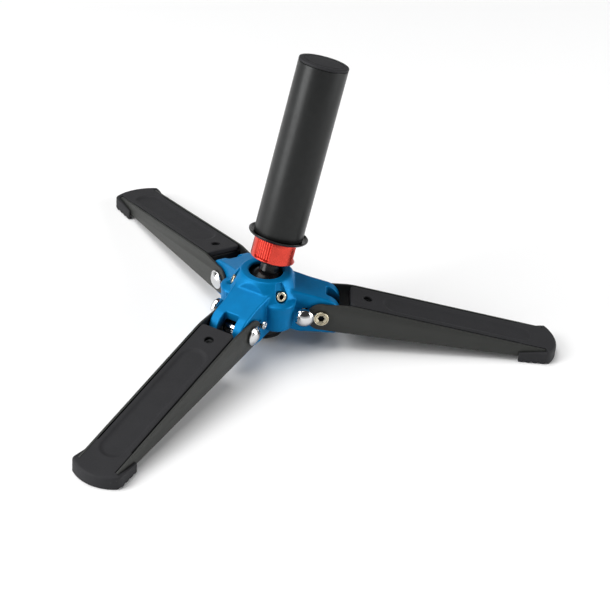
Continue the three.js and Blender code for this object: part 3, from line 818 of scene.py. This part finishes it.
def pad_field(along, sideways, above):
    """Pad with its shallow oval recess and screw hole, and the foot at its outer end."""
    r = PAD_START + along * math.cos(SLOPE) + above * math.sin(SLOPE)
    z = PAD_TOP - along * math.sin(SLOPE) + above * math.cos(SLOPE)
    width = np.abs(sideways)
    outer_end = (FOOT_REACH - 3 - PAD_START) / math.cos(SLOPE)
    plan = common(common(0.2 - along, width - PAD_HALF_WIDTH, 2.2), along - outer_end + 2, 1)
    slab = common(plan, np.maximum(above, -PAD_THICKNESS - above), 0.8)
    whole = np.minimum(slab, foot_field(r, sideways, z, above))
    start, end, radius = PAD_RECESS["start"], PAD_RECESS["end"], PAD_RECESS["radius"]
    middle, half = (start + end) / 2, (end - start) / 2 - radius
    oval = np.hypot(np.maximum(np.abs(along - middle) - half, 0), sideways) - radius
    deep, wall = PAD_RECESS["deep"], PAD_RECESS["wall"]
    recess = (oval * deep - above * wall) / math.hypot(deep, wall)
    whole = less(whole, common(recess, -deep - above, 0.6), 0.4)
    from_screw = np.hypot(along - PAD_SCREW, sideways)
    sunk = np.maximum(from_screw - 3, -2.6 - above)
    return less(whole, np.minimum(sunk, from_screw - PAD_HOLE_RADIUS), 0.35)


def build_legs():
    channel = leg_channel()
    low, high = (-1.5, -18.6, -13.6), (142.5, 18.6, 1)
    pad = surface("leg_pad", pad_field, low, high, CELL)
    along, sideways, above = places_of(pad)
    # Painted shade down the pad's screw hole, darker the deeper.
    in_screw_hole = np.hypot(along - PAD_SCREW, sideways) < 3.2
    mark_painted_shade(pad, np.where(in_screw_hole, -0.4 - above, 0))
    bolt, screw, button, cap = pivot_bolt(), pivot_screw(), lock_button(), lock_pin_cap()
    holding, coil = pad_screw(), lock_spring()
    for leg in range(LEG_COUNT):
        number = leg + 1
        stand_in(f"leg_channel_{number}", channel, LEGS[leg])
        stand_in(f"leg_pad_{number}", pad, LEGS[leg] @ PAD)
        stand_in(f"pad_screw_{number}", holding, LEGS[leg] @ PAD @ shift(PAD_SCREW, 0, 0))
        stand_in(f"pivot_bolt_{number}", bolt, across(leg, PIVOT))
        stand_in(f"pivot_screw_{number}", screw, across(leg, PIVOT))
        stand_in(f"lock_button_{number}", button, across(leg, LOCK))
        stand_in(f"lock_pin_cap_{number}", cap, across(leg, LOCK))
        build_spring(leg, coil)


# --- Leg pivot and lock, turned about the sideways axis ----------------------------------------------

def pivot_bolt():
    """Domed head on the leg's left, and a barrel with the hole for the screw."""
    wide, crown, top = 6.3, 8.3, SEAT + 3.9
    dome = arc(crown, (0, top - crown), 46, 90, 14)
    return turned("pivot_bolt", [
        (0, 0), (2.7, 0), *rounded([
            (2.7, -PLATE_OUTER), (PIVOT_RADIUS, -PLATE_OUTER, 0.3), (PIVOT_RADIUS, SEAT),
            (wide - 0.3, SEAT, 0.2), (wide, SEAT + 0.5, 0.3), (wide, SEAT + 1.5, 0.7),
            dome[0]]), *dome[1:-1], (0, top)])


def pivot_screw():
    """Flat head on the leg's right: a rim, a groove and a dished boss with a hexagonal socket."""
    face = -SEAT - 1.9
    socket = 1.9
    screw = turned("pivot_screw", [
        (0, face + 2.1), (socket, face + 2.0, 6), (socket, face + 0.85, 6),
        (socket + 0.12, face + 0.7, 6),
        *rounded([(2.4, face + 0.62), (3.35, face + 0.1, 0.2), (3.6, face + 0.1, 0.1),
                  (3.7, face + 0.6, 0.1), (3.95, face + 0.6, 0.1), (4.05, face, 0.15),
                  (4.7, face, 0.4), (5, face + 0.5, 0.3), (5, -SEAT, 0.1), (2.4, -SEAT, 0.1),
                  (2.4, -2)]), (0, -2)])
    # Painted shade in the bottom of the hexagonal socket.
    paint_socket_shade(screw, socket, lambda height: np.where(height < 0, height - face - 1.2, 0))
    return screw


def pad_screw():
    """Low head with a hexagonal socket, at the bottom of its hole in the pad."""
    bottom = measure("pad_screw_1", LEGS[0] @ PAD)[0][2]
    top, socket = -1.7, 1.1
    screw = turned("pad_screw", [
        *rounded([(0, bottom), (1.5, bottom, 0.3), (1.5, -2.5), (2.5, -2.5, 0.2), (2.5, top, 0.4),
                  (1.3, top)]), (socket, top - 0.1, 6), (socket, top - 0.6, 6), (0, top - 0.7)], 48)
    # The whole screw gets painted shade, as it sits at the bottom of its hole.
    mark_painted_shade(screw, np.full(len(screw.vertices), 0.6))
    return screw


def lock_button():
    """Domed push button and its pin, thin where it passes the plates."""
    low, high = measure("lock_button_1", LEGS[0])
    base, wide, crown = -17, 6.1, 7
    dome = arc(crown, (0, low[1] + crown), -90, -33, 16)
    return turned("lock_button", [
        (0, low[1]), *dome[1:],
        *rounded([(wide, low[1] + 3.4, 0.6), (wide, base - 1.2, 0.8), (wide - 0.9, base, 0.4),
                  (1.5, base, 0.1), (1.5, -10.6), (2.8, -10.6, 0.4), (2.8, -4.6, 0.4), (1.5, -4.6),
                  (1.5, high[1], 0.2), (1, high[1]), (1, 10)]), (0, 10)])


def lock_pin_cap():
    low, high = measure("lock_pin_cap_1", LEGS[0])
    wide = (high[0] - low[0]) / 2
    face = high[1]
    return turned("lock_pin_cap", [
        *rounded([(0, low[1]), (0.7, low[1], 0.1), (0.7, 14.5), (wide, 14.5, 0.2),
                  (wide, face, 0.7), (1.7, face, 0.15), (1.5, face - 0.3, 0.15),
                  (0.9, face - 0.3, 0.1), (0.8, face - 0.1, 0.1), (0, face - 0.1)])], 64)


def lock_spring():
    """Coil between the button's collar and the bottom of its bore."""
    steps, around = SPRING["turns"] * 28, 10
    points, rings = [], []
    for share in np.linspace(0, 1, steps + 1):
        angle = 2 * math.pi * SPRING["turns"] * share
        height = SPRING["start"] + (SPRING["end"] - SPRING["start"]) * share
        rings.append(list(range(len(points), len(points) + around)))
        for side in np.arange(around) * 2 * math.pi / around:
            reach = SPRING["radius"] + SPRING["wire"] * math.cos(side)
            rise = SPRING["wire"] * math.sin(side)
            points.append((reach * math.cos(angle), reach * math.sin(angle), height + rise))
    return mesh_of("lock_spring", points, skin(rings) + [rings[0], rings[-1]], 60)


def build_spring(leg, mesh):
    """Puts a leg's spring in its bore, with a mesh of its own."""
    place = across(leg, LOCK)
    spring = stand_in(f"lock_spring_{leg + 1}", mesh, place)
    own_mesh(spring)


# --- Column -----------------------------------------------------------------------------------------

def ball_stem():
    """Ball, waisted neck, threaded stretch for the collar, and the shaft inside the tube."""
    low, high = measure("ball_stem", COLUMN)
    ball, top = -low[2], high[2]
    neck = 6.3
    threads = []
    for turn in np.arange(24.8, 32.6, THREAD_PITCH):
        threads += [(7.5, turn), (7.9, turn + 0.35), (7.9, turn + 0.75), (7.5, turn + 1.1)]
    sphere = arc(ball, (0, 0), -90, math.degrees(math.acos(neck / ball)) - 2, 40)
    return turned("ball_stem", [
        (0, -ball), *sphere[1:], (neck + 0.15, 11.4), (neck, 12.2), (neck, 24.2), *threads,
        *rounded([(7.5, 32.9), (6, 32.9), (6, top, 0.5), (2.8, top, 0.3), (2.8, 44)]), (0, 44)])


def collar_radius(angle, height, low, wide, grip):
    """Outer radius of the collar: three smooth lobes, and a ribbed grip between each two."""
    from_grip = np.degrees(angle) - GRIP_MIDDLE
    from_grip -= 120 * np.round(from_grip / 120)
    window = np.clip((GRIP_WIDTH / 2 + 1 - np.abs(from_grip)) / 2.2, 0, 1)
    window = window * window * (3 - 2 * window)
    rise = np.clip((height - low - 0.9) / 0.7, 0, 1)
    rise = rise * rise * (3 - 2 * rise)
    ribs = np.abs(np.cos(math.pi * from_grip / GRIP_RIB["pitch"])) ** 0.8
    return wide - window * rise * (wide - grip - GRIP_RIB["height"] * ribs)


def lock_collar():
    low, high = measure("lock_collar", COLUMN)
    bottom, top = low[2], high[2]
    wide, grip, bore = 14.3, 12.5, 8.4
    segments, edge = 900, 0.5
    angles = np.linspace(0, 2 * math.pi, segments, endpoint=False)
    levels = [(bottom, 1.0), (bottom, edge), (bottom + 0.15, 0.15), (bottom + edge, 0)]
    levels += [(height, 0) for height in np.linspace(bottom + 0.85, bottom + 1.7, 7)]
    levels += [(height, 0) for height in np.linspace(bottom + 3, top - 0.35, 6)]
    levels += [(top - 0.1, 0.1), (top, 0.35), (top, 1.0)]
    points, rings = [], []

    def ring(radii, height):
        start = len(points)
        points.extend(zip(radii * np.cos(angles), radii * np.sin(angles), [height] * len(angles)))
        rings.append(list(range(start, len(points))))

    for height, narrower in levels:
        ring(collar_radius(angles, height, bottom, wide, grip) - narrower, height)
    for radius, height in ((11.2, top), (10.9, top - 0.5), (bore + 0.3, top - 0.5), (bore, top - 0.8),
                           (bore, bottom + 0.3), (bore + 0.3, bottom)):
        ring(np.full(len(angles), radius), height)
    rings.append(rings[0])
    return mesh_of("lock_collar", points, skin(rings), 38)


def flange_ring():
    """Thin dish below the tube, with an upturned rim."""
    low, high = measure("flange_ring", COLUMN)
    bottom, wide = low[2], high[0]
    return turned("flange_ring", rounded([
        (8.6, bottom, 0.2), (17.6, bottom, 1.0), (wide + 0.2, bottom + 1.4, 0.8),
        (wide + 0.3, bottom + 2.5, 0.3), (wide - 0.2, bottom + 2.6, 0.3), (18.0, bottom + 1.5, 0.5),
        (16.2, bottom + 1.4, 0.2), (8.6, bottom + 1.4, 0.2)], closed=True), 144, closed=True)


def build_column():
    stand_in("ball_stem", ball_stem(), COLUMN)
    stand_in("thrust_ring", turned("thrust_ring", rounded([
        (6.6, 16.6, 0.2), (10.2, 16.6, 0.5), (11, 17.3, 0.4), (11, 18.3, 0.3), (8.1, 18.3),
        (8.1, 23.8, 0.2), (6.6, 23.8, 0.2)], closed=True), closed=True), COLUMN)
    stand_in("lock_collar", lock_collar(), COLUMN)
    stand_in("flange_ring", flange_ring(), COLUMN)

    low, high = measure("column_tube", COLUMN)
    bottom, top, wide, wall = low[2], high[2], TUBE_RADIUS, 1.6
    stand_in("column_tube", turned("column_tube", rounded([
        (wide - wall, bottom, 0.3), (wide, bottom, 0.5), (wide, bottom + 40), (wide, bottom + 80),
        (wide, top, 0.3), (wide - wall, top, 0.3)], closed=True), 192, closed=True), COLUMN)

    low, high = measure("tube_cap", COLUMN)
    seat, top = high[2] - 1.8, high[2]
    inside = wide - wall - 0.3
    stand_in("tube_cap", turned("tube_cap", rounded([
        (0, seat - 2), (12, seat - 2, 0.5), (12, low[2], 0.3), (inside, low[2], 0.4),
        (inside, seat, 0.1), (wide, seat, 0.2), (wide, top, 0.9), (wide - 3, top, 0.3),
        (wide - 3.2, top - 0.3, 0.2), (wide - 3.9, top - 0.3, 0.2), (wide - 4.1, top, 0.3),
        (0, top)]), 144), COLUMN)


# --- Stage ------------------------------------------------------------------------------------------

def build_floor():
    """A pale disc that can be looked through from below."""
    steps, radius, below = 96, 30, 0.0001  # the lengths in metres
    mesh = bpy.data.meshes.new("floor")
    turns = [2 * math.pi * k / steps for k in range(steps)]
    ring = [(radius * math.cos(turn), radius * math.sin(turn), 0) for turn in turns]
    mesh.from_pydata(ring, [], [list(range(steps))])
    material = bpy.data.materials.new("floor")
    material.use_nodes = True
    nodes, links = material.node_tree.nodes, material.node_tree.links
    shader = nodes["Principled BSDF"]
    shader.inputs["Base Color"].default_value = (0.93, 0.93, 0.93, 1)
    shader.inputs["Roughness"].default_value = 0.9
    shader.inputs["Specular IOR Level"].default_value = 0.1
    mix, clear = nodes.new("ShaderNodeMixShader"), nodes.new("ShaderNodeBsdfTransparent")
    links.new(nodes.new("ShaderNodeNewGeometry").outputs["Backfacing"], mix.inputs[0])
    links.new(shader.outputs[0], mix.inputs[1])
    links.new(clear.outputs[0], mix.inputs[2])
    links.new(mix.outputs[0], nodes["Material Output"].inputs["Surface"])
    mesh.materials.append(material)
    floor = bpy.data.objects.new("floor", mesh)
    bpy.context.scene.collection.objects.link(floor)
    floor.location.z = cad_box[0].z - below


def direction(azimuth, elevation):
    """Unit vector towards a light."""
    a, e = math.radians(azimuth), math.radians(elevation)
    return Vector((math.cos(e) * math.sin(a), -math.cos(e) * math.cos(a), math.sin(e)))


def softbox(name, azimuth, elevation, distance, size, watts):
    """A square light that looks at the object."""
    light = bpy.data.lights.new(name, "AREA")
    light.shape = "RECTANGLE"
    light.size, light.size_y = size
    light.energy = watts
    lamp = bpy.data.objects.new(name, light)
    bpy.context.scene.collection.objects.link(lamp)
    towards = direction(azimuth, elevation)
    lamp.location = towards * distance
    lamp.rotation_euler = towards.to_track_quat("Z", "Y").to_euler()


def ceiling(azimuth, elevation, strength, spread):
    """A wide, even light from far above, which lights the whole floor alike."""
    light = bpy.data.lights.new("ceiling", "SUN")
    light.energy = strength
    light.angle = math.radians(spread)
    lamp = bpy.data.objects.new("ceiling", light)
    bpy.context.scene.collection.objects.link(lamp)
    lamp.rotation_euler = direction(azimuth, elevation).to_track_quat("Z", "Y").to_euler()


def build_light():
    """Softboxes left and right, and a ceiling. Azimuth 0 is in front, and 90 is to the right."""
    softbox("left", azimuth=-68, elevation=24, distance=1.6, size=(0.9, 1.4), watts=27)
    softbox("right", azimuth=84, elevation=14, distance=1.8, size=(0.7, 1.4), watts=25)
    ceiling(azimuth=-110, elevation=72, strength=1.9, spread=48)
    build_surround()
    bpy.context.scene.view_settings.view_transform = "Standard"


def build_surround():
    """A pale band round the horizon, and a dim room above it."""
    world = bpy.data.worlds.new("studio")
    bpy.context.scene.world = world
    world.use_nodes = True
    nodes, links = world.node_tree.nodes, world.node_tree.links
    direct, height = nodes.new("ShaderNodeTexCoord"), nodes.new("ShaderNodeSeparateXYZ")
    fade = nodes.new("ShaderNodeMapRange")
    fade.interpolation_type = "SMOOTHSTEP"
    pale_below, dim_above, pale, dim = 0.12, 0.4, 0.62, 0.05
    for socket, value in zip(fade.inputs[1:5], (pale_below, dim_above, pale, dim)):
        socket.default_value = value
    links.new(direct.outputs["Generated"], height.inputs[0])
    links.new(height.outputs["Z"], fade.inputs[0])
    links.new(fade.outputs[0], nodes["Background"].inputs["Strength"])
    nodes["Background"].inputs["Color"].default_value = (1, 1, 1, 1)


def build_camera():
    """Looks down at the hub from the front, rolled a little to the right."""
    elevation, roll, azimuth = math.radians(32.584), math.radians(4.975), -2.949
    distance, lens, sensor = 1.178, 106.84, 36
    target = Vector((26.67, 7.7, 20)) * MM
    aim = HUB @ turn_about("Z", azimuth) @ target
    forward = Vector((0, math.cos(elevation), -math.sin(elevation)))
    level = Vector((1, 0, 0))
    upward = level.cross(forward)
    right = level * math.cos(roll) + upward * math.sin(roll)
    up = upward * math.cos(roll) - level * math.sin(roll)
    axes = Matrix((right, up, -forward)).transposed()
    data = bpy.data.cameras.new("camera")
    data.lens = lens
    data.sensor_width = sensor
    data.clip_start, data.clip_end = 0.05, 60
    camera = bpy.data.objects.new("camera", data)
    bpy.context.scene.collection.objects.link(camera)
    turned_axes = turn_about("Z", azimuth).to_3x3() @ axes
    camera.matrix_world = Matrix.Translation(aim + turned_axes.col[2] * distance) @ turned_axes.to_4x4()
    bpy.context.scene.camera = camera


def finish_kept_nodes():
    """Inner CAD pieces that keep their shape get their own finish."""
    for node, piece in frame["nodes"].items():
        piece.data.materials.clear()
        piece.data.materials.append(finishes[slot_of[node]])


build_camera()
build_light()
build_floor()
finish_kept_nodes()
build_hub()
build_legs()
build_column()
